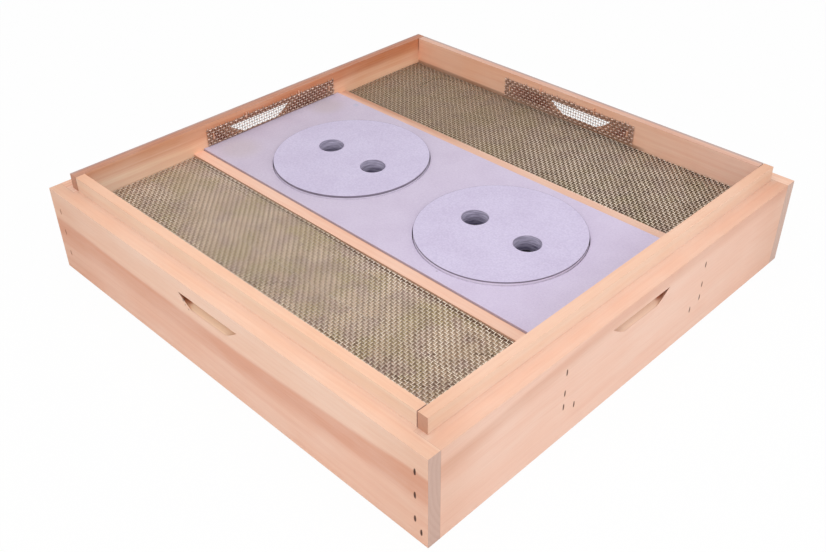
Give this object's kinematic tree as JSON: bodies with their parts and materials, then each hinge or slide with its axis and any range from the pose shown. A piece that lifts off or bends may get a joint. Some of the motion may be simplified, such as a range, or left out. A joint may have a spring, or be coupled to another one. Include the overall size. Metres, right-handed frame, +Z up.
{
  "type": "hive top feeder",
  "caption": "Square ventilated feeder box for the top of a beehive: fibreboard feed panel with lift-out plugs between screened bays of insulating fill, with a telescoping lip and screened vents.",
  "frame": {"origin": "centre of the bottom rim, on the surface that the box stands on", "axes": "+Z up out of the tray, the front wall faces -Y, the left wall faces -X, the dividers run along Y"},
  "size_m": [0.495, 0.495, 0.104],
  "materials": {
    "pine": "matte",
    "fibreboard": "matte",
    "wire_cloth": "satin",
    "fill": "matte",
    "staple_steel": "satin"
  },
  "bodies": {
    "box": {"left_wall": "pine", "right_wall": "pine", "front_wall": "pine", "back_wall": "pine", "left_divider": "pine", "right_divider": "pine", "left_ledger": "pine", "right_ledger": "pine", "feed_panel": "fibreboard", "left_top_screen": "wire_cloth", "right_top_screen": "wire_cloth", "left_floor_screen": "wire_cloth", "right_floor_screen": "wire_cloth", "left_fill": "fill", "right_fill": "fill", "left_vent_screen": "wire_cloth", "right_vent_screen": "wire_cloth", "front_vent_screen": "wire_cloth", "back_vent_screen": "wire_cloth", "left_corner_staples": "staple_steel", "right_corner_staples": "staple_steel", "front_divider_staples": "staple_steel", "back_divider_staples": "staple_steel", "vent_screen_staples": "staple_steel", "top_screen_staples": "staple_steel", "floor_screen_staples": "staple_steel"},
    "front_lid": {"front_plug": "fibreboard"},
    "back_lid": {"back_plug": "fibreboard"}
  },
  "joints": [
    {"name": "front_plug_lift", "type": "slide", "parent": "box", "child": "front_lid", "axis": [0, 0, 1], "range_m": [0, 0.06]},
    {"name": "back_plug_lift", "type": "slide", "parent": "box", "child": "back_lid", "axis": [0, 0, 1], "range_m": [0, 0.06]}
  ]
}
